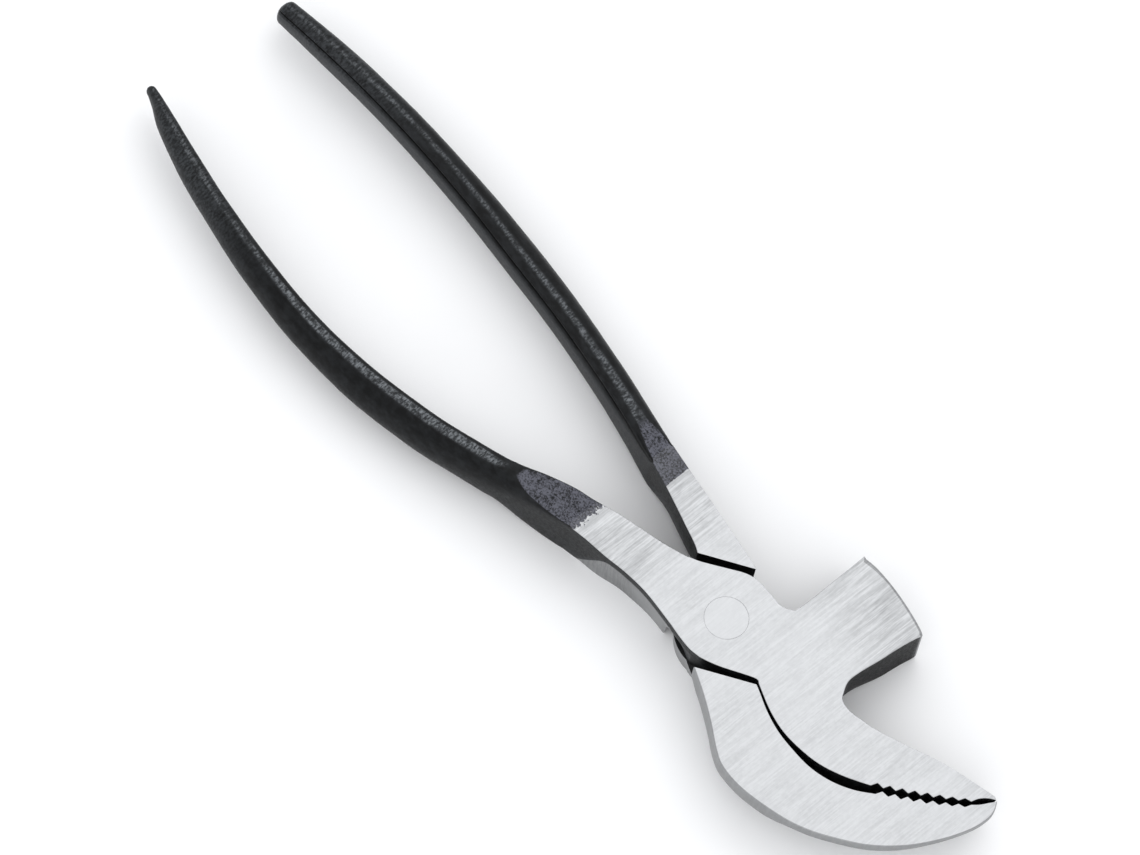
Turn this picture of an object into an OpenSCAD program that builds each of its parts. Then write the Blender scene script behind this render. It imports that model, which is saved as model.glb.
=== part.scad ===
// Lasting pincer with a hammer poll: two forged levers on one flush rivet.
// Frame: the rivet's axis is Z, the back face rests on z = 0, the jaws point to +X,
// the hammer stands out to +Y. Millimetres.

/* [Head] */
// Thickness of the ground head, back face to front face
head_t = 13; // [12:0.5:14]
// Radius of the round boss under the plain lever's half lap
boss_r = 10; // [9.5:0.1:10.2]
// Height of the gap between the two half laps
lap_gap = 0.1; // [0.06:0.02:0.2]
// Distance from the pivot to the jaw's wall of the slot across the hammer lever's back
back_slot_jaw = 11.5; // [11.3:0.1:11.8]
// Distance from the pivot to the handle's wall of the same slot
back_slot_handle = 11; // [10.9:0.1:11.5]
// Direction of the back slot's walls, seen from the front
back_slot_deg = 125; // [122:1:128]
// Distance from the pivot to the jaw's wall of the slot across the plain lever's front
front_slot_jaw = 11.8; // [11.5:0.1:12]
// Distance from the pivot to the handle's wall of the same slot
front_slot_handle = 11.7; // [11.5:0.1:12]
// Direction of the front slot's walls
front_slot_deg = 34.5; // [33:0.5:36]

/* [Hammer] */
// Left side of the hammer, measured from the pivot
hammer_left = 7.5; // [7.2:0.1:8]
// Narrowest place of the hammer's right side, measured from the pivot
hammer_waist = 25.3; // [25:0.1:26]
// Right corner of the striking face, measured from the pivot
hammer_right = 27.2; // [27:0.1:28]
// Top of the crowned striking face, measured from the pivot
hammer_reach = 30.6; // [29.6:0.2:31.4]
// Drop of the crown at its right corner
crown_drop = 2.8; // [2.2:0.1:3]

/* [Teeth] */
// Number of notches in the upper jaw
tooth_count = 8; // [6:1:8]
// Distance from tooth to tooth
tooth_pitch = 2.54; // [2.4:0.02:2.6]
// Depth of a notch
tooth_depth = 0.85; // [0.6:0.05:1.1]
// How much shallower the notch by the tip is, as part of the depth
tooth_fade = 0.3; // [0:0.1:0.5]
// Space left between the crests of the closed jaws
tooth_gap = 0.65; // [0.4:0.05:0.8]

/* [Rivet] */
// Diameter of the rivet's shank
rivet_d = 8; // [7.5:0.1:8.2]
// Diameter of its flush countersunk heads
rivet_head_d = 9; // [8.8:0.1:9.4]
// Depth of each countersink
rivet_head_h = 1.2; // [0.8:0.1:1.5]
// Radial clearance where the plain lever turns on the rivet
rivet_clear = 0.05; // [0.03:0.01:0.08]

/* [Motion] */
// Opening of the jaws; 0 is closed
open_deg = 0; // [0:1:35]

/* [Hidden] */
$fn = 96;

steel = [0.86, 0.87, 0.89];
rivet_steel = [0.92, 0.92, 0.94];
black_lacquer = [0.13, 0.13, 0.14];

mid_z = head_t / 2;
through = 1;              // how far a cutter runs past a face
curve_steps = 4;          // straight pieces in each span of a smooth outline
ring_steps = 3;           // rings in each span of a handle
corner_steps = 4;         // flats in each rounded corner of a handle's section
slot_reach = 60;          // length of the slot cutters
neck_end_x = -34;         // where the ground head meets the forged handle

// The teeth lie along a shallow arc that starts here and rises as it nears the tip.
teeth_start = [44.84, -0.95];
teeth_slope = 36.5;
teeth_arc_r = 116;

// ---- smooth curves through a few points ----

function curve_point(a, b, c, d, t) =
    0.5 * (2 * b + (c - a) * t + (2 * a - 5 * b + 4 * c - d) * t * t
           + (3 * b - a - 3 * c + d) * t * t * t);

function smooth(p, steps = curve_steps) = [
    for (i = [0 : len(p) - 2], k = [0 : steps - 1])
        curve_point(p[max(i - 1, 0)], p[i], p[i + 1], p[min(i + 2, len(p) - 1)], k / steps),
    p[len(p) - 1]
];

// Runs that end where the next one starts, joined to one closed outline.
function joined(runs) = [for (run = runs, i = [0 : len(run) - 2]) run[i]];

function reversed(p) = [for (i = [len(p) - 1 : -1 : 0]) p[i]];

// ---- teeth ----

// Rises smoothly from 0 at x0 to 1 at x1.
function rise(x, x0, x1) =
    let (t = min(max((x - x0) / (x1 - x0), 0), 1))
    t * t * (3 - 2 * t);

function notch_depth(i) = tooth_depth * (1 - tooth_fade * rise(i, tooth_count, 2 * tooth_count));

function teeth_angle(s) = teeth_slope + s / teeth_arc_r * 180 / PI;

function teeth_line(s) = teeth_start + teeth_arc_r * [
    sin(teeth_angle(s)) - sin(teeth_slope),
    cos(teeth_slope) - cos(teeth_angle(s))
];

// A point beside the tooth line; side is 1 towards the upper jaw, -1 towards the lower.
function beside_teeth(s, side, depth) = teeth_line(s)
    + side * (tooth_gap / 2 + depth) * [-sin(teeth_angle(s)), cos(teeth_angle(s))];

// Crests at whole pitches, valleys between them.
function zigzag(side, first) = [
    for (i = [first : 2 * tooth_count])
        beside_teeth(i * tooth_pitch / 2, side, i % 2 == 1 ? notch_depth(i) : 0)
];

upper_teeth = zigzag(1, 0);
lower_teeth = zigzag(-1, 1);

// ---- outlines of the two heads ----

neck_low = [[neck_end_x, -11.7], [-30, -10.95], [-25, -10.3], [-20, -9.4], [-14, -8.95], [-6, -9.5]];
boss_low = [[-6, -9.5], [0, -10], [3.5, -9.3], [7, -7.6], [13, -3.9], [14.4, -4]];
upper_jaw_inner = [
    [14.4, -4], [20, -5.95], [25, -6.85], [30, -6.65], [34.9, -5.7], [39.8, -3.6], upper_teeth[0]
];
upper_tip_inner = [upper_teeth[len(upper_teeth) - 1], [60.3, 14.3], [61.4, 15.8], [62.7, 16.8]];
upper_jaw_back = [
    [62.7, 16.8], [62.2, 17.1], [60, 16.6], [50, 13.6], [42, 10.1], [36, 7.7], [33.6, 7.1],
    [30.7, 6.4], [28.6, 6.4], [27.4, 6.8]
];
hammer_root = [[27.4, 6.8], [26.8, 7.5], [hammer_waist, 10.3], [hammer_waist, 13.9]];
hammer_corner = [hammer_right, hammer_reach - crown_drop];
hammer_side = [[hammer_waist, 13.9], [25.9, 18], [26.2, 21.2], [26.6, 24.5], hammer_corner];
striking_face = [
    hammer_corner, [hammer_right - 0.3, hammer_reach - 2.1], [23.4, hammer_reach - 1.2],
    [17.5, hammer_reach - 0.3], [12, hammer_reach], [hammer_left, hammer_reach - 0.5]
];
hammer_back = [
    [hammer_left, hammer_reach - 0.5], [hammer_left, 24], [hammer_left, 13],
    [6.6, 11.1], [4.5, 10.1], [0, 10.2], [-3.4, 9.8], [-5.6, 8.7]
];
boss_high = [[-5.6, 8.7], [-11.9, 4.1], [-14, 2.9]];
neck_high = [[-14, 2.9], [-15.5, 2.1], [-20, 0.5], [-25, -0.9], [-30, -2.3], [neck_end_x, -3.7]];
neck_close = [[neck_end_x, -3.7], [neck_end_x, -11.7]];

hammer_lever_outline = joined([
    smooth(neck_low), smooth(boss_low), smooth(upper_jaw_inner), upper_teeth,
    smooth(upper_tip_inner), smooth(upper_jaw_back), smooth(hammer_root), smooth(hammer_side),
    smooth(striking_face), smooth(hammer_back), boss_high, smooth(neck_high), neck_close
]);

lower_jaw_outer = [
    [3.8, -11.9], [9.3, -14.2], [14.6, -16.9], [19.8, -19.9], [23.5, -21.2], [29.3, -21.15],
    [37, -19.4], [42.6, -17.3], [47.7, -14.2], [53.9, -9.3], [58.8, -3.3], [62.4, 3.6],
    [64.3, 9.4], [64.6, 13.2], [64.1, 15.2], [63, 16.8]
];
lower_tip_inner = [[63, 16.8], [62.1, 15.1], [61.3, 13.6], lower_teeth[len(lower_teeth) - 1]];
lower_jaw_inner = [
    lower_teeth[0], [43.2, -3.95], [39, -6.25], [34.2, -7.6], [29.3, -7.85], [24.6, -7.6],
    [20, -6.55], [15.7, -4.95], [14.2, -4.45]
];
jaw_web = [[14.2, -4.45], [11, -1.6], [9.8, 2]];
boss_front = [for (a = [12 : 8 : 92]) boss_r * [cos(a), sin(a)]];
handle_web = [boss_front[len(boss_front) - 1], [-2.4, 10.4], [-4.5, 11.6]];
neck_outer = [[-4.5, 11.6], [-10, 12.4], [-15, 13.1], [-20, 13.8], [-28, 14.8], [neck_end_x, 15.6]];
neck_inner = [[neck_end_x, 10.1], [-28, 8.7], [-20, 6.5], [-14.5, 4.8], [-11.5, 2.2], [-9.8, -2]];
boss_rear = [for (a = [192 : 8 : 272]) boss_r * [cos(a), sin(a)]];
jaw_heel = [boss_rear[len(boss_rear) - 1], [2, -10.9], [3.8, -11.9]];

plain_lever_outline = joined([
    smooth(lower_jaw_outer), smooth(lower_tip_inner), reversed(lower_teeth),
    smooth(lower_jaw_inner), concat(smooth(jaw_web), boss_front), smooth(handle_web),
    smooth(neck_outer), [[neck_end_x, 15.6], [neck_end_x, 10.1]],
    concat(smooth(neck_inner), boss_rear), smooth(jaw_heel)
]);

// ---- handles ----
// Each station is [x, inner side y, outer side y, lowest z, highest z, roundness].
// Roundness 1 is a D section with its flat side inwards, 0 a square-edged bar.

hammer_handle = [
    [-157.6, -13.6, -15.7, 4.9, 8.1, 1],
    [-155, -14, -16.8, 4.4, 8.7, 1],
    [-151, -14.9, -18.7, 3.4, 9.6, 1],
    [-141, -16.8, -21.8, 2.8, 10.2, 1],
    [-130, -18.6, -24, 2.4, 10.6, 1],
    [-115, -20.2, -26.3, 2.1, 10.9, 1],
    [-100, -20.6, -27.2, 2, 11, 1],
    [-85, -19.2, -26.4, 1.8, 11.2, 1],
    [-70, -16.1, -23.6, 1.6, 11.4, 1],
    [-60, -13.1, -20.4, 1.3, 11.7, 1],
    [-51, -10.2, -17.3, 0.8, 12.3, 0.9],
    [-45, -7.5, -15.3, 0.4, 12.8, 0.55],
    [-40, -5.4, -13.7, 0.1, 12.9, 0.2],
    [-36, -4.3, -12.4, 0, head_t, 0.05],
    [-31, -2.7, -11.2, 0, head_t, 0],
    [-26, -1.3, -10.4, 0, head_t, 0]
];

plain_handle = [
    [-153.4, 15.3, 19.8, 3, 10, 1],
    [-142, 16.3, 21.7, 2.4, 10.6, 1],
    [-130, 17.2, 23.1, 2.2, 10.8, 1],
    [-115, 17.7, 24, 2, 11, 1],
    [-100, 17.4, 24.1, 2, 11, 1],
    [-85, 16.5, 23.7, 1.9, 11.1, 1],
    [-70, 15.4, 22.5, 1.7, 11.3, 1],
    [-55, 13.5, 20.4, 1.2, 11.8, 1],
    [-45, 11.9, 18.6, 0.8, 12.3, 0.8],
    [-38, 10.7, 16.9, 0.4, 12.8, 0.4],
    [-31, 9.5, 15.2, 0, head_t, 0.05],
    [-25, 7.9, 14.4, 0, head_t, 0]
];

crest_place = 0.32;   // where the crest stands across a handle, from its flat side
flat_corner = 0.14;   // height of the corner beside the flat side, as part of the handle's height
sharp_corner = 0.4;   // corner radius of the square-edged bar
hammer_tip_dome = 1.2;
plain_tip_dome = 1.6;

function between(a, b, t) = a + (b - a) * t;

// One quarter of a rounded corner, from angle a0 on, with its own width and height.
function corner(cy, cz, ry, rz, a0) = [
    for (k = [0 : corner_steps])
        [cy + ry * cos(a0 + k * 90 / corner_steps), cz + rz * sin(a0 + k * 90 / corner_steps)]
];

// Section of a handle at one station, counterclockwise for a handle on the +Y side.
function section(st) =
    let (
        low = max(st[3], 0),
        high = min(st[4], head_t),
        w = st[2] - st[1],
        h = high - low,
        side = sign(w),
        outer_y = side * between(sharp_corner, (1 - crest_place) * abs(w), st[5]),
        outer_z = between(sharp_corner, h / 2, st[5]),
        inner_y = side * between(sharp_corner, crest_place * abs(w), st[5]),
        inner_z = between(sharp_corner, flat_corner * h, st[5])
    )
    concat(
        corner(st[2] - outer_y, low + outer_z, outer_y, outer_z, -90),
        corner(st[2] - outer_y, high - outer_z, outer_y, outer_z, 0),
        corner(st[1] + inner_y, high - inner_z, inner_y, inner_z, 90),
        corner(st[1] + inner_y, low + inner_z, inner_y, inner_z, 180)
    );

// The first section shrunk towards its middle, for the rounded end.
function shrunk(st, k) =
    let (my = (st[1] + st[2]) / 2, mz = (st[3] + st[4]) / 2)
    [for (p = section(st)) [my + (p[0] - my) * k, mz + (p[1] - mz) * k]];

function ring_at(x, ring) = [for (p = ring) [x, p[0], p[1]]];

function handle_rings(stations, dome) = concat(
    [for (a = [20 : 20 : 80]) ring_at(stations[0][0] - dome * cos(a), shrunk(stations[0], sin(a)))],
    [for (st = smooth(stations, ring_steps)) ring_at(st[0], section(st))]
);

// A skin over a row of rings, closed at both ends.
module loft(rings, mirrored) {
    n = len(rings[0]);
    last = len(rings) - 1;
    skin = [
        for (r = [0 : last - 1], i = [0 : n - 1])
            [r * n + i, r * n + (i + 1) % n, (r + 1) * n + (i + 1) % n, (r + 1) * n + i]
    ];
    start_cap = [for (i = [n - 1 : -1 : 0]) i];
    end_cap = [for (i = [0 : n - 1]) last * n + i];
    faces = concat([start_cap, end_cap], skin);
    polyhedron([for (r = rings) each r], mirrored ? faces : [for (f = faces) reversed(f)], convexity = 6);
}

// ---- shared cutters ----

// A straight slot across half of the head. Its walls run along wall_deg, one on each side
// of the pivot at the distances right and left.
module lap_slot(right, left, wall_deg, z_from, z_to) {
    translate([0, 0, z_from])
        rotate(wall_deg)
            translate([-slot_reach / 2, -right, 0])
                cube([slot_reach, right + left, z_to - z_from]);
}

module rivet_shape(clear) {
    rotate_extrude()
        polygon([
            [0, -clear], [rivet_head_d / 2 + clear, -clear], [rivet_head_d / 2 + clear, 0],
            [rivet_d / 2 + clear, rivet_head_h], [rivet_d / 2 + clear, head_t - rivet_head_h],
            [rivet_head_d / 2 + clear, head_t], [rivet_head_d / 2 + clear, head_t + clear],
            [0, head_t + clear]
        ]);
}

// ---- the three pieces ----

module hammer_lever() {
    color(steel)
        difference() {
            linear_extrude(head_t) polygon(hammer_lever_outline);
            lap_slot(back_slot_jaw, back_slot_handle, back_slot_deg, -through, mid_z + lap_gap / 2);
            rivet_shape(0);
        }
    color(black_lacquer)
        loft(handle_rings(hammer_handle, hammer_tip_dome), true);
}

module plain_lever() {
    rotate(-open_deg) {
        color(steel)
            difference() {
                linear_extrude(head_t) polygon(plain_lever_outline);
                lap_slot(
                    front_slot_jaw, front_slot_handle, front_slot_deg,
                    mid_z - lap_gap / 2, head_t + through
                );
                rivet_shape(rivet_clear);
            }
        color(black_lacquer)
            loft(handle_rings(plain_handle, plain_tip_dome), false);
    }
}

module pivot_rivet() {
    color(rivet_steel)
        rivet_shape(0);
}

hammer_lever();
plain_lever();
pivot_rivet();
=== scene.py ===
"""Lasting pincer with hammer poll: the looks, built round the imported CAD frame.

Lengths in the tables below are millimetres in the part's frame (rivet axis Z, back face z = 0,
jaws towards +X, hammer towards +Y); meshes are made in metres.
"""
import math

import bmesh
import bpy
import numpy as np
from mathutils import Matrix, Vector, noise


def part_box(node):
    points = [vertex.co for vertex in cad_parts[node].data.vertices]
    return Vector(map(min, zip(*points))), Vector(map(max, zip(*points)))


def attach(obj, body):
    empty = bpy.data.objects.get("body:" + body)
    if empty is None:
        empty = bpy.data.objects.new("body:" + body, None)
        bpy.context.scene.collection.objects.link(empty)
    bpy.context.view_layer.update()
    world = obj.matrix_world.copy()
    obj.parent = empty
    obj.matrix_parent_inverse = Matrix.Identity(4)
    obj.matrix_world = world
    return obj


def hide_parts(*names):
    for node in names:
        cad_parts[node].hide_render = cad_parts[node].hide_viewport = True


MM = 0.001

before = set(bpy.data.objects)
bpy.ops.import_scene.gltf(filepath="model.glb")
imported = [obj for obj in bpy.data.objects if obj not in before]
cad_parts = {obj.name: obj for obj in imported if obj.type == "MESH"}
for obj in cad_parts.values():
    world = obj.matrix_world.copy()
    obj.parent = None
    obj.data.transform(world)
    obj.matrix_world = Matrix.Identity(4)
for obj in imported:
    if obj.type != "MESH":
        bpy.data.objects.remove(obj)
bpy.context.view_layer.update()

rivet_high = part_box("pivot_rivet")[1]
HEAD_T = rivet_high.z / MM              # thickness of the ground head
MID_Z = HEAD_T / 2
LAP_GAP = 0.1                           # between the two half laps
RIVET_HEAD_R = rivet_high.x / MM
RIVET_SHANK_R = 4.0
RIVET_SINK = 1.2                        # depth of the countersinks
RIVET_EDGE = 0.012                      # broken edge of the rivet's heads
RIVET_TIGHT = 0.02                      # space round the rivet in the hammer lever
RIVET_FREE = 0.05                       # the same in the plain lever, which turns on it
ROUND_SIDES = 96                        # of the rivet and its holes

# ------------------------------------------------------------------ outlines

TOOTH_COUNT = 8
TOOTH_PITCH = 2.54
TOOTH_DEPTH = 0.85
TOOTH_FADE = 0.3                        # share of its depth that the last tooth loses
TOOTH_GAP = 0.65                        # between the crests of the two jaws
TOOTH_BLUNT = 0.14                      # length of the blunted corners
TEETH_START = (44.84, -0.95)
TEETH_SLOPE = math.radians(36.5)
TEETH_ARC_R = 116.0
NECK_END_X = -34.0                      # where a handle turns into its neck
BOSS_R = 10.0


def ramp(x, x0, x1):
    """A smooth step from 0 at x0 to 1 at x1."""
    t = min(max((x - x0) / (x1 - x0), 0.0), 1.0)
    return t * t * (3 - 2 * t)


def grown(x, base, *gains):
    """A value that gains by steps along x; each gain is (how much, from, to)."""
    return base + sum(gain * ramp(x, x0, x1) for gain, x0, x1 in gains)


def catmull(points, steps):
    """Points on a smooth curve through the given points; the last point is kept."""
    p = np.array(points, float)
    out = []
    for i in range(len(p) - 1):
        a, b, c, d = p[max(i - 1, 0)], p[i], p[i + 1], p[min(i + 2, len(p) - 1)]
        for k in range(steps):
            t = k / steps
            out.append(
                0.5 * (2 * b + (c - a) * t + (2 * a - 5 * b + 4 * c - d) * t * t
                       + (3 * b - a - 3 * c + d) * t ** 3)
            )
    out.append(p[-1])
    return np.array(out)


def spaced(points, spacing, steps=24):
    """The smooth curve through the points, with vertices a given distance apart."""
    fine = catmull(points, steps)
    run = np.concatenate([[0], np.cumsum(np.linalg.norm(np.diff(fine[:, :2], axis=0), axis=1))])
    count = max(2, int(round(run[-1] / spacing)) + 1)
    at = np.linspace(0, run[-1], count)
    return np.stack([np.interp(at, run, fine[:, c]) for c in range(fine.shape[1])], 1)


def teeth_point(s, side, depth):
    """A point beside the curved tooth line; side is 1 towards the upper jaw, -1 the lower."""
    angle = TEETH_SLOPE + s / TEETH_ARC_R
    line = np.array(TEETH_START) + TEETH_ARC_R * np.array([
        math.sin(angle) - math.sin(TEETH_SLOPE), math.cos(TEETH_SLOPE) - math.cos(angle)
    ])
    return line + side * (TOOTH_GAP / 2 + depth) * np.array([-math.sin(angle), math.cos(angle)])


def zigzag(side, first):
    """Crests at whole pitches and valleys between them, each corner slightly blunted."""
    corners = []
    for i in range(first, 2 * TOOTH_COUNT + 1):
        depth = TOOTH_DEPTH * (1 - TOOTH_FADE * ramp(i, TOOTH_COUNT, 2 * TOOTH_COUNT))
        corners.append(teeth_point(i * TOOTH_PITCH / 2, side, depth if i % 2 else 0.0))
    out = [corners[0]]
    for before, here, after in zip(corners, corners[1:], corners[2:]):
        to_before = (before - here) / np.linalg.norm(before - here)
        to_after = (after - here) / np.linalg.norm(after - here)
        out.append(here + TOOTH_BLUNT * to_before)
        out.append(here + TOOTH_BLUNT * 0.3 * (to_before + to_after))
        out.append(here + TOOTH_BLUNT * to_after)
    out.append(corners[-1])
    return np.array(out)


upper_teeth = zigzag(1, 0)
lower_teeth = zigzag(-1, 1)


def arc(radius, start_deg, end_deg, step_deg):
    angles = np.radians(np.arange(start_deg, end_deg + step_deg / 2, step_deg))
    return np.stack([radius * np.cos(angles), radius * np.sin(angles)], 1)


# Each run is (name, points, spacing); a spacing of None keeps the points as they are.
HAMMER_RUNS = [
    ("neck_low", [(NECK_END_X, -11.7), (-30, -10.95), (-25, -10.3), (-20, -9.4), (-14, -8.95),
                  (-6, -9.5)], 0.8),
    ("boss_rise", [(-6, -9.5), (-3, -9.85), (0, -10), (1.5, -9.8)], 0.6),
    ("boss_low", [(1.5, -9.8), (3.5, -9.3), (7, -7.6), (13, -3.9), (14.4, -4)], 0.6),
    ("jaw_inner", [(14.4, -4), (20, -5.95), (25, -6.85), (30, -6.65), (34.9, -5.7), (39.8, -3.6),
                   tuple(upper_teeth[0])], 0.7),
    ("teeth", upper_teeth, None),
    ("jaw_inner", [tuple(upper_teeth[-1]), (60.3, 14.3), (61.4, 15.8), (62.7, 16.8)], 0.5),
    ("jaw_back", [(62.7, 16.8), (62.2, 17.1), (60, 16.6), (50, 13.6), (42, 10.1), (36, 7.7), (33.6, 7.1),
                  (30.7, 6.4), (28.6, 6.4), (27.4, 6.8)], 0.8),
    ("hammer_root", [(27.4, 6.8), (26.8, 7.5), (25.3, 10.3), (25.35, 13.9)], 0.5),
    ("hammer_side", [(25.35, 13.9), (25.9, 18), (26.2, 21.2), (26.6, 24.5), (27.2, 27.8)], 0.8),
    ("striking_face", [(27.2, 27.8), (26.9, 28.5), (23.4, 29.4), (17.5, 30.3), (12, 30.6), (9.5, 30.5),
                       (7.4, 30.1)], 0.6),
    ("hammer_side", [(7.4, 30.1), (7.5, 24), (7.5, 13), (6.6, 11.1), (4.5, 10.1)], 0.8),
    ("boss_high", [(4.5, 10.1), (0, 10.2), (-3.4, 9.8), (-5.6, 8.7)], 0.6),
    ("boss_high", [(-5.6, 8.7), (-11.9, 4.1), (-14, 2.9)], 0.8),
    ("neck_high", [(-14, 2.9), (-15.5, 2.1), (-20, 0.5), (-25, -0.9), (-30, -2.3),
                   (NECK_END_X, -3.7)], 0.8),
]

boss_front = arc(BOSS_R, 12, 92, 4)
boss_rear = arc(BOSS_R, 192, 272, 4)
PLAIN_RUNS = [
    ("neck_inner", [(NECK_END_X, 10.1), (-28, 8.7), (-20, 6.5), (-14.5, 4.8), (-11.5, 2.2),
                    tuple(boss_rear[0])], 0.8),
    ("boss_rear", boss_rear, None),
    ("heel", [tuple(boss_rear[-1]), (2, -10.9), (3.8, -11.9)], 0.5),
    ("jaw_outer", [(3.8, -11.9), (9.3, -14.2), (14.6, -16.9), (19.8, -19.9), (23.5, -21.2), (29.3, -21.15),
                   (37, -19.4), (42.6, -17.3), (47.7, -14.2), (53.9, -9.3), (58.8, -3.3), (62.4, 3.6),
                   (64.3, 9.4), (64.6, 13.2), (64.1, 15.2), (63, 16.8)], 0.8),
    ("jaw_inner", [(63, 16.8), (62.1, 15.1), (61.3, 13.6), tuple(lower_teeth[-1])], 0.5),
    ("teeth", lower_teeth[::-1], None),
    ("jaw_inner", [tuple(lower_teeth[0]), (43.2, -3.95), (39, -6.25), (34.2, -7.6), (29.3, -7.85),
                   (24.6, -7.6), (20, -6.55), (15.7, -4.95), (14.2, -4.45)], 0.7),
    ("web", [(14.2, -4.45), (11, -1.6), tuple(boss_front[0])], 0.6),
    ("boss_front", boss_front, None),
    ("web", [tuple(boss_front[-1]), (-2.4, 10.4), (-4.5, 11.6)], 0.5),
    ("neck_outer", [(-4.5, 11.6), (-10, 12.4), (-15, 13.1), (-20, 13.8), (-28, 14.8),
                    (NECK_END_X, 15.6)], 0.8),
]

# Handle stations: x, inner side y, outer side y, lowest z, highest z, then how far the trimmed
# strip along the crest starts and ends from the inner side, how square the outer and the inner
# side are, and how much of the strip is rough: specks along the crest, then the pad by the head.
HAMMER_HANDLE = [
    (-157.6, -13.6, -15.7, 4.9, 8.1, 0.8, 1.1, 2.0, 2.2, 0.5, 0),
    (-155, -14, -16.8, 4.4, 8.7, 1.1, 1.5, 2.0, 2.2, 0.5, 0),
    (-151, -14.9, -18.7, 3.4, 9.6, 1.3, 1.9, 2.0, 2.6, 0.55, 0),
    (-141, -16.8, -21.8, 2.8, 10.2, 1.6, 2.3, 2.0, 2.8, 0.6, 0),
    (-130, -18.6, -24, 2.4, 10.6, 1.7, 2.4, 2.0, 2.8, 0.6, 0),
    (-115, -20.2, -26.3, 2.1, 10.9, 1.7, 2.4, 2.0, 2.8, 0.7, 0),
    (-100, -20.6, -27.2, 2, 11, 1.7, 2.6, 2.0, 2.8, 0.9, 0),
    (-85, -19.2, -26.4, 1.8, 11.2, 1.7, 2.7, 2.0, 2.8, 0.9, 0),
    (-70, -16.1, -23.6, 1.6, 11.4, 1.7, 2.8, 2.1, 2.8, 1.0, 0),
    (-60, -13.1, -20.4, 1.3, 11.7, 1.8, 2.9, 2.3, 2.8, 1.0, 0),
    (-54, -11.2, -18.4, 1.0, 12.1, 2.0, 3.0, 2.5, 3.0, 0.8, 0),
    (-50.5, -9.8, -17, 0.8, 12.4, 1.9, 2.9, 2.8, 3.1, 0, 0),
    (-48.5, -9, -16.3, 0.6, 12.6, 1.3, 3.6, 3.0, 3.2, 0, 0.8),
    (-45, -7.5, -15.3, 0.4, 12.8, 0.6, 5.8, 3.4, 3.4, 0, 1),
    (-40, -5.4, -13.7, 0.1, 12.9, 0.4, 7.5, 4.5, 4.0, 0, 1),
    (-36, -4.3, -12.4, 0, HEAD_T, 0.3, 7.8, 6.0, 6.0, 0, 1),
    (NECK_END_X, -3.7, -11.7, 0, HEAD_T, 0.2, 7.8, 8.0, 8.0, 0, 1),
]
PLAIN_HANDLE = [
    (-153.4, 15.25, 19.8, 3, 10, 2.2, 2.6, 2.2, 2.8, 0.5, 0),
    (-142, 16.3, 21.7, 2.4, 10.6, 2.5, 3.0, 2.1, 2.9, 0.55, 0),
    (-130, 17.2, 23.1, 2.2, 10.8, 2.7, 3.2, 2.0, 3.0, 0.6, 0),
    (-115, 17.65, 24, 2, 11, 2.8, 3.3, 2.0, 3.0, 0.6, 0),
    (-100, 17.4, 24.1, 2, 11, 2.9, 3.4, 2.0, 3.0, 0.6, 0),
    (-85, 16.45, 23.7, 1.9, 11.1, 2.9, 3.4, 2.0, 3.0, 0.65, 0),
    (-70, 15.35, 22.5, 1.7, 11.3, 2.9, 3.5, 2.1, 3.0, 0.7, 0),
    (-55, 13.5, 20.4, 1.2, 11.8, 2.7, 3.6, 2.3, 3.0, 0.7, 0.1),
    (-45, 11.9, 18.6, 0.8, 12.3, 2.3, 3.6, 2.6, 3.2, 0.7, 0.3),
    (-38, 10.65, 16.9, 0.4, 12.8, 1.2, 4.6, 3.2, 3.6, 0, 1),
    (NECK_END_X, 10.1, 15.7, 0.1, HEAD_T, 0.4, 4.9, 5.0, 5.0, 0, 1),
]

# ------------------------------------------------------------------ lever meshes

BOTTOM_STEPS, WALL_STEPS, TOP_STEPS = 6, 3, 5
WALL_TOP = BOTTOM_STEPS + WALL_STEPS    # the level where a wall's top edge starts
LEVELS = WALL_TOP + TOP_STEPS + 1
GROUND, BLACK, MACHINED, LAP = 0, 1, 2, 3

RIM = 0.12                              # rounded edge of the front face
BACK_RIM = 0.2                          # the same at the back face
FACET_WALL_H = 2.5                      # black wall left above the hammer lever's ground facet
HAMMER_RIM, HAMMER_BACK_RIM = 0.2, 0.3
ROOT_BEVEL_W, ROOT_BEVEL_H = 0.7, 7.0   # under the hammer's root
STRIKE_RIM = 0.6                        # front edge of the striking face
STRIKE_WORN, STRIKE_BACK_RIM = 0.5, 0.5
BOSS_BEVEL_W = 3.2                      # under the hammer lever's boss, where the facet runs out
HEEL_BEVEL_W, HEEL_BEVEL_H = 0.7, 6.5   # under the plain lever's boss
HEEL_MORE_W, HEEL_MORE_H = 1.7, 1.5     # what it gains along the heel, to meet the jaw's slope
JAW_WALL_H = 5.0                        # wall above the jaw's ground-back slope, at the heel
JAW_SLOPE = 0.3                         # how far that slope leans back per millimetre of height
JAW_RIM = 0.2
NECK_BEVEL_W, NECK_BEVEL_H = 1.5, 7.0   # along the plain lever's inner neck
POINT_BACK = 3.6                        # how far the jaws' points are drawn back at the back face
POINT_WALL_H = 1.8                      # height below the front face that isn't drawn back


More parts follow.
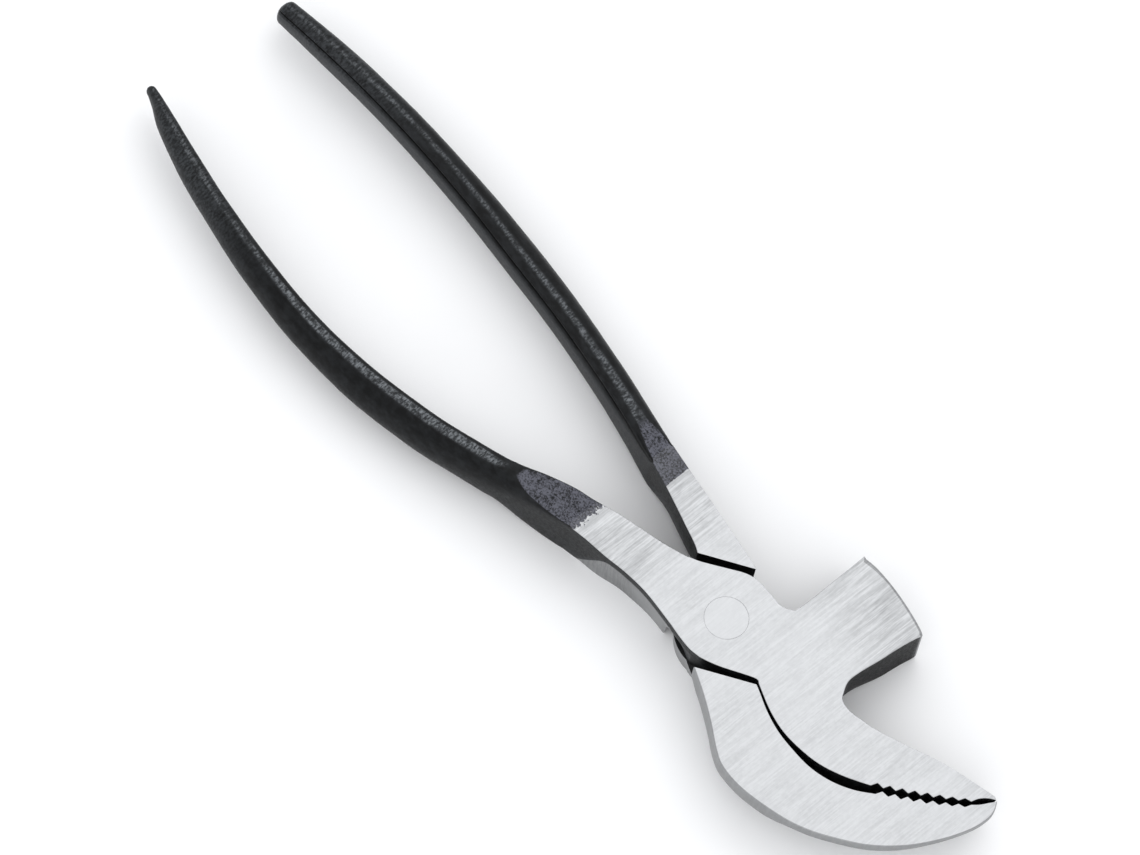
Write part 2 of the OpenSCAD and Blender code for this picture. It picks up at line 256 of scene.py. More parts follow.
def wall_profile(bevel_w, bevel_h, chamfer, edge):
    """(inset, z) up a side wall of the head: a low bevel, a plain wall, a small top edge."""
    rows = []
    for k in range(BOTTOM_STEPS + 1):
        t = k / BOTTOM_STEPS
        a = t * math.pi / 2
        rows.append((
            bevel_w * ((1 - chamfer) * (1 - math.sin(a)) + chamfer * (1 - t)),
            bevel_h * ((1 - chamfer) * (1 - math.cos(a)) + chamfer * t),
        ))
    top = HEAD_T - edge
    for k in range(1, WALL_STEPS + 1):
        rows.append((0.0, bevel_h + (top - bevel_h) * k / WALL_STEPS))
    for k in range(1, TOP_STEPS + 1):
        a = k / TOP_STEPS * math.pi / 2
        rows.append((edge * (1 - math.cos(a)), top + edge * math.sin(a)))
    return np.array(rows)


def side_profile(reach, low, high, squareness):
    """(inset, z) up one side of a handle's section; reach is the way in to the crest."""
    rows = []
    for k in range(LEVELS):
        a = -math.pi / 2 + math.pi * k / (LEVELS - 1)
        c, s = abs(math.cos(a)), abs(math.sin(a))
        rows.append((
            reach * (1 - c ** (2 / squareness)),
            (low + high) / 2 + math.copysign((high - low) / 2 * s ** (2 / squareness), a),
        ))
    return np.array(rows)


def hammer_wall(name, x, y):
    """Bevel width, bevel height, chamfer share and top edge of the hammer lever's walls."""
    if name == "neck_low":
        lean = ramp(x, -32, -23.5)
        facet_w = grown(x, BACK_RIM, (0.85, -29, -19), (0.45, -19, -10), (1.9, -8.6, -6))
        return facet_w, BACK_RIM + (HEAD_T - FACET_WALL_H - BACK_RIM) * lean, lean, RIM
    if name == "boss_rise":
        bevel_w = grown(x, BACK_RIM + BOSS_BEVEL_W, (-BOSS_BEVEL_W, -3.5, 1.5))
        return bevel_w, HEAD_T - FACET_WALL_H, 1.0, RIM
    if name == "striking_face":
        edge = grown(x, STRIKE_RIM + STRIKE_WORN, (-STRIKE_WORN, 8, 15))
        return STRIKE_BACK_RIM, STRIKE_BACK_RIM, 0.5, edge
    if name in ("hammer_side", "hammer_root"):
        under = (1 - ramp(y, 12, 21)) * ramp(x, 20, 24) * (1 - ramp(x, 26.4, 27.4))
        bevel_w, bevel_h = HAMMER_BACK_RIM + ROOT_BEVEL_W * under, HAMMER_BACK_RIM + ROOT_BEVEL_H * under
        return bevel_w, bevel_h, 0.3, HAMMER_RIM
    return BACK_RIM, BACK_RIM, 0.0, RIM


def plain_wall(name, x, y):
    """The same for the plain lever: below a narrow wall its jaw is ground back all the way."""
    if name in ("boss_rear", "heel"):
        to_jaw = ramp(x, 0, 3.8)
        bevel_w = HEEL_BEVEL_W * ramp(x, -9.5, -7) + HEEL_MORE_W * to_jaw
        return bevel_w, HEEL_BEVEL_H + HEEL_MORE_H * to_jaw, 1.0, RIM
    if name == "jaw_outer":
        wall_h = grown(x, JAW_WALL_H, (1.3, 3.8, 7), (-1.5, 17, 25), (-2.0, 34, 42)) - 1.3 * ramp(y, -6, 6)
        slope = grown(x, JAW_SLOPE, (0.15, 14, 24)) - 0.45 * ramp(y, -10, 14)
        return slope * (HEAD_T - wall_h), HEAD_T - wall_h, 1.0, JAW_RIM
    if name == "neck_inner":
        full = ramp(x, -36, -26) * (1 - ramp(x, -15, -10))
        return BACK_RIM + NECK_BEVEL_W * full, BACK_RIM + NECK_BEVEL_H * full, 0.3, RIM
    return BACK_RIM, BACK_RIM, 0.0, RIM


# handles: level where the flat inner side ends, stretches in x where a feature fades, dome's rings
FLAT_TOP = 9
GROOVE_END = (-48, -38)
FORGED_END = (-46, -36)
# where the painted shade under the round side's crest fades in and out
CREST_SHADE_START, CREST_SHADE_END = (-146, -118), (-50, -44)
DOME_DEGREES = (12, 24, 36, 48, 60, 72)
# the forging's unevenness: waves per millimetre and height in millimetres
BROAD_WAVES, BROAD_HEIGHT = 0.11, 0.11
FINE_WAVES, FINE_HEIGHT = 0.62, 0.045

# the walls that aren't black all the way up: material of the lower slope, of the wall above it
HAMMER_MATERIAL = {"striking_face": (MACHINED, MACHINED), "neck_low": (MACHINED, BLACK)}
PLAIN_MATERIAL = {
    "jaw_outer": (MACHINED, MACHINED), "heel": (MACHINED, MACHINED), "boss_rear": (MACHINED, MACHINED),
}
# how the lacquer is painted on a wall, and up to which level: above 0 greyer, a painted sheen; below 0
# dull and black, painted shade
WALL_SHEEN_AND_SHADE = {
    "neck_inner": (1.0, BOTTOM_STEPS), "neck_low": (1.0, BOTTOM_STEPS), "boss_rise": (1.0, BOTTOM_STEPS),
    "hammer_side": (-0.6, WALL_TOP), "hammer_root": (-0.6, WALL_TOP),
}


def point_back(x, z):
    """How far the points of both jaws are drawn back below their top face."""
    return POINT_BACK * ramp(x, 54, 64) * min(max(1 - z / (HEAD_T - POINT_WALL_H), 0.0), 1.0)


def head_grid(runs, wall):
    """Vertex rows round the head: (columns, levels, 3), the run name of every column."""
    points, names = [], []
    for i, (name, run, spacing) in enumerate(runs):
        run = np.array(run, float) if spacing is None else spaced(run, spacing)
        keep = run if i == len(runs) - 1 else run[:-1]
        points.extend(keep)
        names.extend([name] * len(keep))
    points = np.array(points)
    grid = []
    last = len(points) - 1
    for i, p in enumerate(points):
        before = p - points[i - 1] if i else points[1] - p
        after = points[i + 1] - p if i < last else before
        before /= np.linalg.norm(before)
        after /= np.linalg.norm(after)
        inward = np.array([-(before + after)[1], (before + after)[0]])
        inward /= np.linalg.norm(inward)
        mitre = 1 / max(0.5, abs(np.dot(inward, [-before[1], before[0]])))
        # beside the handle the inset runs straight across, as the handle's own does
        across = 1 - ramp(p[0], NECK_END_X, NECK_END_X + 5) if "neck" in names[i] else 0.0
        inward = inward * mitre * (1 - across) + np.array([0, math.copysign(1, inward[1])]) * across
        rows = wall_profile(*wall(names[i], p[0], p[1]))
        grid.append([
            (p[0] + inward[0] * d - point_back(p[0], z), p[1] + inward[1] * d, z) for d, z in rows
        ])
    return np.array(grid), names


def handle_grids(stations, dome, groove, spacing=0.8):
    """Vertex rows along the inner and outer side of a handle, from the tip to the neck."""
    inner, outer, rough = [], [], []
    sections = []
    for a in np.radians(DOME_DEGREES):
        station = np.array(stations[0], float)
        station[0] -= dome * math.cos(a)
        sections.append((math.sin(a), station))
    sections += [(1.0, station) for station in spaced(stations, spacing)[:-1]]
    for scale, station in sections:
        x, y_in, y_out, low, high, strip_in, strip_out, sq_out, sq_in, specks, pad = station
        rough.append((max(specks, 0), max(pad, 0)))
        side = math.copysign(1, y_out - y_in)
        low, high = max(low, 0.0), min(high, HEAD_T)
        mid_y, mid_z = (y_in + y_out) / 2, (low + high) / 2
        for rows, base, reach, way, square in (
            (inner, y_in, strip_in, side, sq_in),
            (outer, y_out, abs(y_out - y_in) - strip_out, -side, sq_out),
        ):
            section = []
            for k, (d, z) in enumerate(side_profile(reach, low, high, square)):
                if rows is inner and k == FLAT_TOP + 1:
                    d += groove * (1 - ramp(x, *GROOVE_END))
                y = base + way * d
                section.append((x, mid_y + (y - mid_y) * scale, mid_z + (z - mid_z) * scale))
            rows.append(section)
    return np.array(inner), np.array(outer), rough


def forged(p, strength):
    """A small uneven shift of a forged surface point, in millimetres."""
    broad = noise.noise(Vector(p) * BROAD_WAVES)
    fine = noise.noise(Vector(p) * FINE_WAVES + Vector((7, 3, 1)))
    return strength * (BROAD_HEIGHT * broad + FINE_HEIGHT * fine)


def forge(section):
    """Shifts the points of one side of a handle outwards or inwards, but never past the head."""
    strength = 1 - ramp(section[0][0], *FORGED_END)
    middle = section.mean(0)
    for point in section:
        away = point - middle
        away[0] = 0
        away /= max(np.linalg.norm(away), 1e-6)
        point += away * forged(point, strength)
        point[2] = min(max(point[2], 0.0), HEAD_T)


def from_bmesh(name, bm):
    """An object with empty material slots, made from a bmesh that is then freed."""
    mesh = bpy.data.meshes.new(name)
    bm.to_mesh(mesh)
    bm.free()
    for _ in (GROUND, BLACK, MACHINED, LAP):
        mesh.materials.append(None)
    made = bpy.data.objects.new(name, mesh)
    bpy.context.scene.collection.objects.link(made)
    return made


def lever_mesh(name, runs, wall, handle, wall_material, handle_on_low_side):
    """One closed skin: along one side of the handle, round the head and back to the tip.

    A handle is its stations, how far its end domes out and how deep its flat side is grooved.
    """
    head, names = head_grid(runs, wall)
    inner, outer, rough = handle_grids(*handle)
    grooved = handle[2] > 0
    going, coming = (outer, inner) if handle_on_low_side else (inner, outer)
    count = len(going)
    for rows in (inner, outer):
        for section in rows:
            forge(section)
    grid = np.concatenate([going, head, coming[::-1]])
    columns = len(grid)
    bm = bmesh.new()
    specks = bm.verts.layers.float.new("specks")
    pad = bm.verts.layers.float.new("pad")
    # smooth: above 0 a painted sheen of greyer lacquer, below 0 painted shade of near-black lacquer
    smooth = bm.verts.layers.float.new("smooth")
    verts = [[bm.verts.new(Vector(p) * MM) for p in column] for column in grid]
    for i in range(columns - 1):
        in_head = count <= i < count + len(head) - 1
        for k in range(LEVELS - 1):
            face = bm.faces.new((verts[i][k], verts[i + 1][k], verts[i + 1][k + 1], verts[i][k + 1]))
            face.material_index = BLACK
            if in_head:
                below, above = wall_material.get(names[i - count], (BLACK, BLACK))
                face.material_index = below if k < BOTTOM_STEPS else above
                if k >= WALL_TOP and above == BLACK:
                    face.material_index = GROUND
    # the blunt end of the tip, and the strips along both crests
    bm.faces.new([v for v in verts[0][::-1]] + [v for v in verts[-1]]).material_index = BLACK
    for i in range(count - 1):
        j = columns - 1 - i
        low = bm.faces.new((verts[i][0], verts[j][0], verts[j - 1][0], verts[i + 1][0]))
        high = bm.faces.new((verts[i][-1], verts[i + 1][-1], verts[j - 1][-1], verts[j][-1]))
        low.material_index = high.material_index = BLACK
    # how the lacquer is painted: specks and pads on the crests, then painted sheen and shade on the flat
    # sides, painted shade on the round sides, and painted sheen and shade on the walls
    starting, ending = range(count), range(columns - count, columns)
    flat_side, round_side = (starting, ending) if going is inner else (ending, starting)
    for i in range(count):
        for column in (verts[i], verts[columns - 1 - i]):
            for k in (0, LEVELS - 1):
                column[k][specks], column[k][pad] = rough[i]
    # painted sheen on the flat side, and painted shade in the groove above it where there is one
    for i in flat_side:
        for k in range(2, FLAT_TOP + 1):
            verts[i][k][smooth] = 1.0 if grooved else 0.4
        verts[i][FLAT_TOP + 1][smooth] = -1.0 if grooved else 0.0
    # painted shade in a band below the crest of the round side
    for i in round_side:
        x = grid[i][0][0]
        for k in range(LEVELS - 4, LEVELS - 1):
            verts[i][k][smooth] = -0.35 * ramp(x, *CREST_SHADE_START) * (1 - ramp(x, *CREST_SHADE_END))
    # the walls: painted sheen low on the necks and the boss, painted shade on the hammer's sides
    for i, run in enumerate(names):
        value, highest = WALL_SHEEN_AND_SHADE.get(run, (0.0, 0))
        for k in range(highest + 1):
            verts[count + i][k][smooth] = value
    # the two ground faces of the head, each one flat polygon from the last strip on
    ring = list(range(count - 1, columns - count + 1))
    top = bm.faces.new([verts[i][-1] for i in ring])
    bottom = bm.faces.new([verts[i][0] for i in reversed(ring)])
    top.material_index = bottom.material_index = GROUND
    bm.normal_update()
    return from_bmesh(name, bm)


hammer = lever_mesh(
    "hammer_forging", HAMMER_RUNS, hammer_wall, (HAMMER_HANDLE, 1.2, 0.0), HAMMER_MATERIAL, True)
plain = lever_mesh(
    "plain_forging", PLAIN_RUNS, plain_wall, (PLAIN_HANDLE, 1.6, 0.3), PLAIN_MATERIAL, False)

# the half-lap slots: how far each reaches to the right and left of its walls' direction in degrees
HAMMER_SLOT = (11.5, 11, 125)
PLAIN_SLOT = (11.85, 11.7, 34.5)
SLOT_REACH = 30.0
PAST_FACE = 1.0                         # how far the cutters stand out of the faces


def slot_cutter(right, left, wall_deg, z_from, z_to):
    """A straight bar across the pivot whose walls run along wall_deg."""
    bm = bmesh.new()
    bmesh.ops.create_cube(bm, size=1)
    size = Vector((2 * SLOT_REACH, right + left, z_to - z_from))
    middle = Vector((0, (left - right) / 2, (z_from + z_to) / 2))
    turn = Matrix.Rotation(math.radians(wall_deg), 4, "Z")
    place = turn @ Matrix.Translation(middle) @ Matrix.Diagonal(size).to_4x4()
    bmesh.ops.transform(bm, matrix=Matrix.Scale(MM, 4) @ place, verts=bm.verts)
    return from_bmesh("slot", bm)


def lathe(profile, sides=ROUND_SIDES):
    """A closed turned shape from (radius, z) points that start and end on the axis."""
    bm = bmesh.new()
    rings = []
    for r, z in profile:
        if r < 1e-6:
            rings.append([bm.verts.new((0, 0, z * MM))])
            continue
        rings.append([
            bm.verts.new((r * MM * math.cos(a), r * MM * math.sin(a), z * MM))
            for a in np.linspace(0, 2 * math.pi, sides, endpoint=False)
        ])
    for low, high in zip(rings, rings[1:]):
        for i in range(sides):
            j = (i + 1) % sides
            if len(low) == 1:
                bm.faces.new((low[0], high[j], high[i]))
            elif len(high) == 1:
                bm.faces.new((low[i], low[j], high[0]))
            else:
                bm.faces.new((low[i], low[j], high[j], high[i]))
    bm.normal_update()
    return bm


def cut(piece, tool):
    """Takes the tool's shape out of a piece for good."""
    for face in tool.data.polygons:
        face.material_index = LAP
    modifier = piece.modifiers.new("cut", "BOOLEAN")
    modifier.object = tool
    modifier.operation = "DIFFERENCE"
    modifier.solver = "EXACT"
    bpy.context.view_layer.update()
    shown = piece.evaluated_get(bpy.context.evaluated_depsgraph_get())
    mesh = bpy.data.meshes.new_from_object(shown)
    mesh.name = piece.name
    piece.modifiers.remove(modifier)
    piece.data = mesh
    bpy.data.objects.remove(tool)


def hole_profile(space):
    """The rivet's own outline with some space round it, standing out of both faces."""
    head_r, shank_r = RIVET_HEAD_R + space, RIVET_SHANK_R + space
    return [
        (0, -space), (head_r, -space), (head_r, 0), (shank_r, RIVET_SINK),
        (shank_r, HEAD_T - RIVET_SINK), (head_r, HEAD_T), (head_r, HEAD_T + space), (0, HEAD_T + space),
    ]


cut(hammer, slot_cutter(*HAMMER_SLOT, -PAST_FACE, MID_Z + LAP_GAP / 2))
cut(plain, slot_cutter(*PLAIN_SLOT, MID_Z - LAP_GAP / 2, HEAD_T + PAST_FACE))
cut(hammer, from_bmesh("bore", lathe(hole_profile(RIVET_TIGHT))))
cut(plain, from_bmesh("bore", lathe(hole_profile(RIVET_FREE))))

rivet = from_bmesh("rivet", lathe([
    (0, 0), (RIVET_HEAD_R - 2 * RIVET_EDGE, 0), (RIVET_HEAD_R - RIVET_EDGE, RIVET_EDGE),
    (RIVET_SHANK_R, RIVET_SINK), (RIVET_SHANK_R, HEAD_T - RIVET_SINK),
    (RIVET_HEAD_R - RIVET_EDGE, HEAD_T - RIVET_EDGE), (RIVET_HEAD_R - 2 * RIVET_EDGE, HEAD_T),
    (0, HEAD_T),
]))

SHARP_FROM = math.radians(30)           # edges with a larger angle stay sharp
for piece in (hammer, plain, rivet):
    bm = bmesh.new()
    bm.from_mesh(piece.data)
    bmesh.ops.remove_doubles(bm, verts=bm.verts, dist=1e-7)
    for face in bm.faces:
        face.smooth = True
    for edge in bm.edges:
        edge.smooth = len(edge.link_faces) == 2 and edge.calc_face_angle(0) < SHARP_FROM
    bm.to_mesh(piece.data)
    bm.free()
    weighted = piece.modifiers.new("flat faces stay flat", "WEIGHTED_NORMAL")
    weighted.keep_sharp = True
    weighted.weight = 80

# ------------------------------------------------------------------ materials


class Nodes:
    """Short calls for one node material."""

    def __init__(self, name):
        self.material = bpy.data.materials.new(name)
        self.material.use_nodes = True
        self.tree = self.material.node_tree
        self.tree.nodes.clear()
        output = self.tree.nodes.new("ShaderNodeOutputMaterial")
        self.shader = self.tree.nodes.new("ShaderNodeBsdfPrincipled")
        self.tree.links.new(self.shader.outputs[0], output.inputs[0])
        self.place = self.tree.nodes.new("ShaderNodeTexCoord").outputs["Object"]

    def new(self, kind, **sockets):
        node = self.tree.nodes.new(kind)
        for key, value in sockets.items():
            self.put(node.inputs[key.replace("_", " ")], value)
        return node

    def put(self, socket, value):
        if hasattr(value, "is_output"):
            self.tree.links.new(value, socket)
        else:
            socket.default_value = value

    def scaled(self, x, y, z):
        """Object coordinates, with lengths in metres divided by the given sizes in millimetres."""
        node = self.new("ShaderNodeMapping", Vector=self.place)
        node.inputs["Scale"].default_value = (1 / (x * MM), 1 / (y * MM), 1 / (z * MM))
        return node.outputs[0]

    def noise(self, vector, detail=3.0, rough=0.5, distortion=0.0):
        node = self.new("ShaderNodeTexNoise", Vector=vector, Scale=1.0, Detail=detail, Roughness=rough,
                        Distortion=distortion)
        return node.outputs["Fac"]

    def span(self, value, low, high, to_low=0.0, to_high=1.0, smooth=True):
        node = self.new("ShaderNodeMapRange", Value=value)
        node.interpolation_type = "SMOOTHSTEP" if smooth else "LINEAR"
        for key, number in zip(("From Min", "From Max", "To Min", "To Max"), (low, high, to_low, to_high)):
            node.inputs[key].default_value = number
        return node.outputs[0]

    def math(self, operation, a, b=0.0):
        node = self.tree.nodes.new("ShaderNodeMath")
        node.operation = operation
        self.put(node.inputs[0], a)
        self.put(node.inputs[1], b)
        return node.outputs[0]

    def mix(self, factor, a, b):
        node = self.tree.nodes.new("ShaderNodeMix")
        node.data_type = "RGBA"
        self.put(node.inputs["Factor"], factor)
        self.put(node.inputs[6], a)
        self.put(node.inputs[7], b)
        return node.outputs[2]

    def blend(self, factor, a, b):
        node = self.tree.nodes.new("ShaderNodeMix")
        node.data_type = "FLOAT"
        self.put(node.inputs["Factor"], factor)
        self.put(node.inputs[2], a)
        self.put(node.inputs[3], b)
        return node.outputs[0]

    def axis(self, index):
        node = self.tree.nodes.new("ShaderNodeSeparateXYZ")
        self.put(node.inputs[0], self.place)
        return node.outputs[index]

    def attribute(self, name):
        node = self.tree.nodes.new("ShaderNodeAttribute")
        node.attribute_name = name
        return node.outputs["Fac"]

    def bump(self, height, distance_mm, strength=1.0, normal=None):
        node = self.new("ShaderNodeBump", Height=height, Strength=strength, Distance=distance_mm * MM)
        if normal is not None:
            self.put(node.inputs["Normal"], normal)
        return node.outputs["Normal"]

    def set(self, **sockets):
        for key, value in sockets.items():
            self.put(self.shader.inputs[key.replace("_", " ")], value)


def grey(level, tint=0.0):
    return (level * (1 - tint), level, level * (1 + tint), 1.0)


# tones, as linear grey levels with a little blue; the lap's near-black tone is painted shade of the
# joint's gap
GROUND_TONE, RIVET_TONE, MACHINED_TONE, LAP_SHADE_TONE = 0.555, 0.55, 0.33, 0.07
STEEL_BLUE = 0.012
RIVET_LINE = grey(0.16)
LACQUER_DARK, LACQUER_LIGHT = grey(0.006, 0.05), grey(0.015, 0.08)
# painted sheen: the greyer lacquer of the flat sides and of low bevels
PAINTED_SHEEN_DARK, PAINTED_SHEEN_LIGHT = grey(0.017, 0.08), grey(0.032, 0.08)
# the thinner coat along the crests, also used as a painted sheen towards the tips
LACQUER_THIN_AND_SHEEN = grey(0.045, 0.08)
# painted shade: near black under the crests, in the groove and on the hammer's sides
PAINTED_SHADE_BLACK = grey(0.001)
BARE_SPECK = grey(0.19, 0.06)
SKIN_PIT, SKIN_SLATE = grey(0.008, 0.05), (0.103, 0.105, 0.126, 1.0)
FLOOR_DARK, FLOOR_LIGHT = grey(0.90), grey(0.92)

# where the grinding belt bit deeper than over the flat boss, in millimetres along X and Y
BITE_NECKS_X = (-12 * MM, -22 * MM)
BITE_HAMMER_Y = (9 * MM, 25 * MM)
# where a painted sheen lightens the lacquer towards the tips
SHEEN_TIPS_X = (-108 * MM, -138 * MM)
# where each ground face starts along X, and how far its broken edge strays to either side
HAMMER_GROUND = (-33.3, 1.0)
PLAIN_GROUND = (-28.6, 0.15)
RAGGED_BLUR = 0.1
SKIN_ROUGHNESS = 0.55


def brushed(nodes, base, strength=1.0):
    """Colour, roughness and bump of a face ground by a belt that ran along Y."""
    fine = nodes.noise(nodes.scaled(0.3, 9, 9), 4, 0.6)
    coarse = nodes.noise(nodes.scaled(0.9, 11, 11), 3, 0.6)
    patch = nodes.noise(nodes.scaled(9, 12, 9), 3, 0.6)
    streak = nodes.math("ADD", nodes.math("MULTIPLY", fine, 0.6), nodes.math("MULTIPLY", coarse, 0.4))
    on_necks = nodes.span(nodes.axis(0), *BITE_NECKS_X)
    on_hammer = nodes.span(nodes.axis(1), *BITE_HAMMER_Y)
    bite = nodes.span(nodes.math("MAXIMUM", on_necks, on_hammer), 0, 1, 0.34, 0.8)
    tone = nodes.math("MULTIPLY", nodes.span(streak, 0.66, 0.36), bite)
    speckle = nodes.noise(nodes.scaled(0.5, 0.9, 0.9), 2, 0.5)
    tone = nodes.math("ADD", tone, nodes.span(speckle, 0.35, 0.65, -0.05, 0.07))
    tone = nodes.math("MULTIPLY", tone, nodes.span(patch, 0.3, 0.7, 0.7, 1.0))
    light = grey(base * 1.03, STEEL_BLUE)
    dark = grey(base * (1 - 0.5 * strength), STEEL_BLUE)
    rough_streak = nodes.span(streak, 0.3, 0.7, 0.30, 0.38)
    rough_patch = nodes.span(patch, 0.3, 0.7, 0.0, 0.05)
    return (
        nodes.mix(tone, light, dark), nodes.math("ADD", rough_streak, rough_patch),
        nodes.bump(streak, 0.012, 0.5),
    )


def ground_steel(name, base, start_x, stray):
    """Bright ground face. Short of start_x the forging's rough skin is left, at a broken line."""
    nodes = Nodes(name)
    colour, rough, normal = brushed(nodes, base)
    jitter = nodes.noise(nodes.scaled(0.7, 0.7, 50), 4, 0.7)
    shift = nodes.span(jitter, 0.3, 0.7, -stray * MM, stray * MM, False)
    edge = nodes.math("ADD", nodes.axis(0), shift)
    ground = nodes.span(edge, (start_x - RAGGED_BLUR) * MM, (start_x + RAGGED_BLUR) * MM)
    skin, pit = pitted(nodes)
    nodes.set(
        Base_Color=nodes.mix(ground, skin, colour), Metallic=nodes.span(ground, 0, 1, 0.0, 1.0),
        Roughness=nodes.blend(ground, SKIN_ROUGHNESS, rough),
        Normal=nodes.bump(nodes.blend(ground, pit, 1.0), 0.12, 0.8, normal),
    )
    return nodes.material


def rivet_steel(name, base):
    """The rivet's own face: evener than the levers', with a broken dark line round its rim."""
    nodes = Nodes(name)
    colour, rough, normal = brushed(nodes, base, 0.5)
    across = nodes.math("POWER", nodes.axis(0), 2.0)
    along = nodes.math("POWER", nodes.axis(1), 2.0)
    radius = nodes.math("SQRT", nodes.math("ADD", across, along))
    rim = nodes.span(radius, (RIVET_HEAD_R - 0.22) * MM, (RIVET_HEAD_R - 0.02) * MM)
    broken = nodes.span(nodes.noise(nodes.scaled(3.2, 3.2, 30), 1, 0.5), 0.48, 0.68, 0.0, 0.25)
    colour = nodes.mix(nodes.math("MULTIPLY", rim, broken), colour, RIVET_LINE)
    nodes.set(Base_Color=colour, Metallic=1.0, Roughness=rough, Normal=normal)
    return nodes.material


def pitted(nodes):
    """Colour and height of the rough skin left on the pads: slate grey with black pits."""
    pit = nodes.noise(nodes.scaled(0.42, 0.42, 0.42), 3, 0.7)
    broad = nodes.noise(nodes.scaled(2.2, 2.2, 2.2), 2, 0.5)
    grain = nodes.math("ADD", nodes.math("MULTIPLY", pit, 0.75), nodes.math("MULTIPLY", broad, 0.25))
    return nodes.mix(nodes.span(grain, 0.37, 0.60), SKIN_PIT, SKIN_SLATE), pit


def black_skin(name):
    """Black lacquer over the forging, scuffed to grey specks along the trimmed crest.

    The meshes say where: "specks" and "pad" run from 0 to 1, and "smooth" from 1, a painted
    sheen of greyer lacquer, down to -1, painted shade of dull black.
    """
    nodes = Nodes(name)
    grain = nodes.noise(nodes.scaled(0.6, 0.6, 0.6), 4, 0.65)
    filed = nodes.noise(nodes.scaled(0.42, 1.0, 1.0), 4, 0.7)
    patchy = nodes.noise(nodes.scaled(2.2, 1.4, 1.4), 3, 0.6)
    crest = nodes.attribute("specks")
    smooth = nodes.attribute("smooth")
    base = nodes.mix(nodes.span(patchy, 0.35, 0.7), LACQUER_DARK, LACQUER_LIGHT)
    painted_sheen = nodes.mix(nodes.span(grain, 0.3, 0.7), PAINTED_SHEEN_DARK, PAINTED_SHEEN_LIGHT)
    # painted sheen: greyer lacquer where "smooth" is above 0
    base = nodes.mix(nodes.span(smooth, 0.2, 1.0), base, painted_sheen)
    # the coat is thinner along the crests, where the forging's grain shows; towards the tips the same
    # lighter grain is a painted sheen
    sheen_near_tips = nodes.span(nodes.axis(0), *SHEEN_TIPS_X, 0.0, 0.8)
    coat_and_sheen = nodes.math("MULTIPLY", sheen_near_tips, nodes.span(filed, 0.38, 0.66))
    coat_and_sheen = nodes.math("MAXIMUM", coat_and_sheen, nodes.span(crest, 0.2, 0.8, 0.0, 0.3))
    base = nodes.mix(coat_and_sheen, base, LACQUER_THIN_AND_SHEEN)
    # painted shade: near black where "smooth" is below 0
    base = nodes.mix(nodes.span(smooth, -0.1, -0.9), base, PAINTED_SHADE_BLACK)
    bare = nodes.math("MULTIPLY", nodes.span(filed, 0.39, 0.66), nodes.span(patchy, 0.32, 0.55, 0.15, 1.0))
    worn = nodes.math("MULTIPLY", nodes.span(crest, 0.25, 0.95), bare)
    colour = nodes.mix(worn, base, BARE_SPECK)
    rough = nodes.math("ADD", nodes.span(grain, 0.3, 0.7, 0.34, 0.5), nodes.math("MULTIPLY", worn, 0.1))
    skin, pit = pitted(nodes)
    on_pad = nodes.span(nodes.attribute("pad"), 0.45, 0.75)
    height = nodes.math("ADD", nodes.math("MULTIPLY", grain, 0.6), nodes.math("MULTIPLY", pit, on_pad))
    nodes.set(
        Base_Color=nodes.mix(on_pad, colour, skin), Roughness=rough, Normal=nodes.bump(height, 0.06, 0.6),
        Specular_IOR_Level=nodes.span(smooth, -0.1, -0.7, 0.12, 0.05),
    )
    return nodes.material


def machined_steel(name, base, roughness):
    """Duller steel where an edge or a slot was ground or milled and left."""
    nodes = Nodes(name)
    colour, rough, normal = brushed(nodes, base)
    rough = nodes.math("ADD", rough, roughness)
    nodes.set(Base_Color=colour, Metallic=1.0, Roughness=rough, Normal=normal)
    return nodes.material


def put_materials(piece, *materials):
    """Fills the slots in the order GROUND, BLACK, MACHINED, LAP; faces keep their slot numbers."""
    for i, material in enumerate(materials):
        piece.data.materials[i] = material


black = black_skin("black_lacquer")
machined = machined_steel("machined_steel", MACHINED_TONE, 0.08)
# the lap faces: machined steel darkened to near black, painted shade of the joint's gap
lap = machined_steel("lap_steel_painted_shade", LAP_SHADE_TONE, 0.0)
hammer_ground = ground_steel("ground_steel_hammer_lever", GROUND_TONE, *HAMMER_GROUND)
plain_ground = ground_steel("ground_steel_plain_lever", GROUND_TONE, *PLAIN_GROUND)
put_materials(hammer, hammer_ground, black, machined, lap)
put_materials(plain, plain_ground, black, machined, lap)
put_materials(rivet, rivet_steel("ground_steel_rivet", RIVET_TONE), black, machined, lap)

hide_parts("hammer_lever")
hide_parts("plain_lever")
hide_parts("pivot_rivet")
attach(hammer, "hammer_half")
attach(plain, "plain_half")
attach(rivet, "hammer_half")

# ------------------------------------------------------------------ floor, light, camera

FLOOR_HALF = 3.0                        # in metres

floor_mesh = bpy.data.meshes.new("floor")
bm = bmesh.new()
bmesh.ops.create_grid(bm, x_segments=8, y_segments=8, size=FLOOR_HALF)
bm.to_mesh(floor_mesh)
bm.free()
floor = bpy.data.objects.new("floor", floor_mesh)
bpy.context.scene.collection.objects.link(floor)
floor_nodes = Nodes("pale_floor")
mottle = floor_nodes.span(floor_nodes.noise(floor_nodes.scaled(40, 40, 40), 3, 0.5), 0.3, 0.7)
floor_nodes.set(Base_Color=floor_nodes.mix(mottle, FLOOR_DARK, FLOOR_LIGHT), Roughness=0.8)
floor_mesh.materials.append(floor_nodes.material)

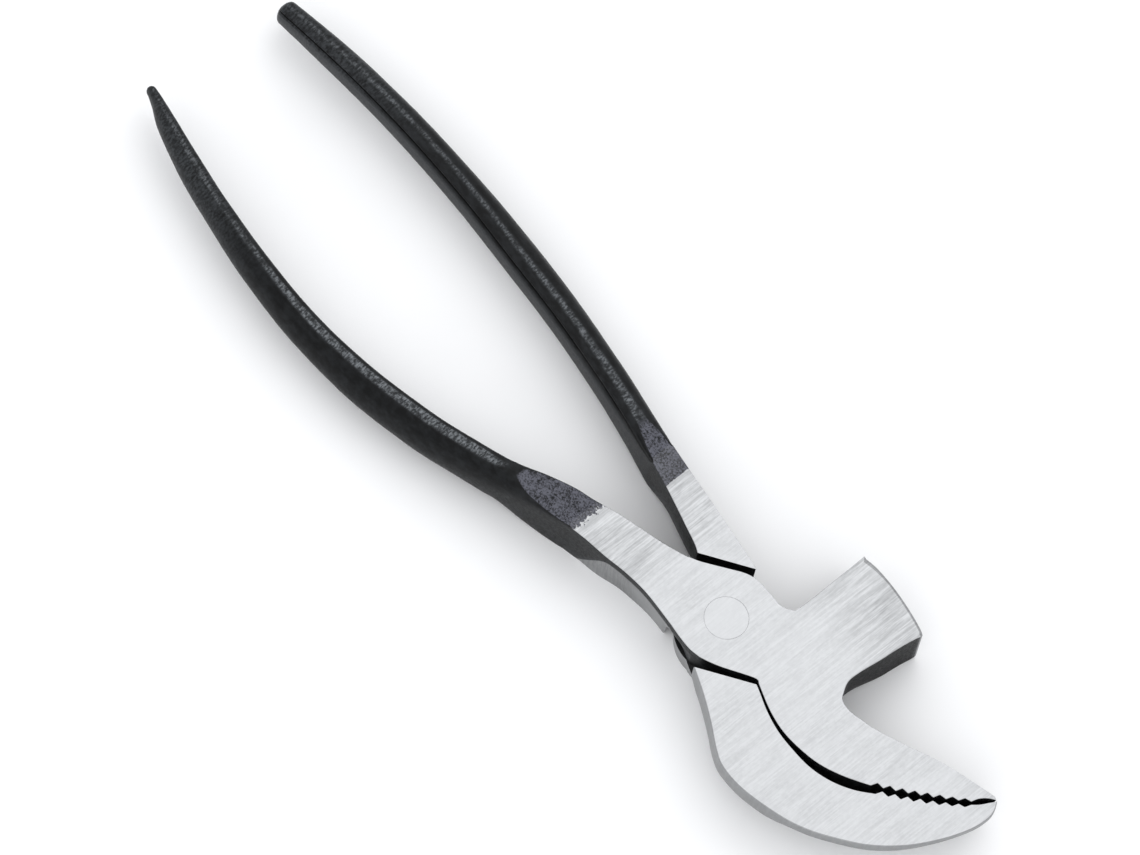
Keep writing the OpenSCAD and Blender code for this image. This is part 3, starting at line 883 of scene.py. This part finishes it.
# the camera looks from a little to the jaw side and from the lower handle's side
LOOK_BACK = Vector((0.1967, -0.2996, 0.9336)).normalized()
LOOK_RIGHT = Vector((0.6514, 0.7515, 0.1039)).normalized()
LOOK_UP = LOOK_BACK.cross(LOOK_RIGHT).normalized()
LOOK_RIGHT = LOOK_UP.cross(LOOK_BACK).normalized()
VIEW_W = 226.2                          # width of the view at the object, in millimetres
AIM = Vector((-47.93, -1.12, 22.74)) * MM
CAMERA_FAR = 8.0                        # in metres, so the view is nearly parallel
CLIP_FROM, CLIP_TO = 0.05, 40
SENSOR_MM = 36

camera_data = bpy.data.cameras.new("camera")
camera_data.sensor_width = SENSOR_MM
camera_data.lens = SENSOR_MM * CAMERA_FAR / (VIEW_W * MM)
camera_data.clip_start, camera_data.clip_end = CLIP_FROM, CLIP_TO
camera = bpy.data.objects.new("camera", camera_data)
bpy.context.scene.collection.objects.link(camera)
turn = Matrix((LOOK_RIGHT, LOOK_UP, LOOK_BACK)).transposed().to_4x4()
camera.matrix_world = Matrix.Translation(AIM + LOOK_BACK * CAMERA_FAR) @ turn
bpy.context.scene.camera = camera


# name, place and size in metres, power in watts
SOFTBOXES = (
    ("key", (-0.5, 0.9, 1.1), (1.4, 1.4), 3.4),
    ("fill", (0.7, -1.0, 0.5), (0.8, 0.5), 1.6),
)
LIT_POINT = Vector((-0.04, 0, 0))
SKY_COLOUR, SKY_STRENGTH = (0.97, 0.98, 1.0, 1.0), 1.17


def softbox(name, place, size, power):
    """A rectangular area light that faces the tool."""
    data = bpy.data.lights.new(name, "AREA")
    data.shape = "RECTANGLE"
    data.size, data.size_y = size
    data.energy = power
    light = bpy.data.objects.new(name, data)
    light.location = place
    light.visible_camera = False
    light.rotation_mode = "QUATERNION"
    light.rotation_quaternion = (LIT_POINT - Vector(place)).to_track_quat("-Z", "Y")
    bpy.context.scene.collection.objects.link(light)


for box in SOFTBOXES:
    softbox(*box)

world = bpy.data.worlds.new("studio")
bpy.context.scene.world = world
world.use_nodes = True
background = world.node_tree.nodes["Background"]
background.inputs["Color"].default_value = SKY_COLOUR
background.inputs["Strength"].default_value = SKY_STRENGTH
bpy.context.scene.view_settings.view_transform = "Standard"
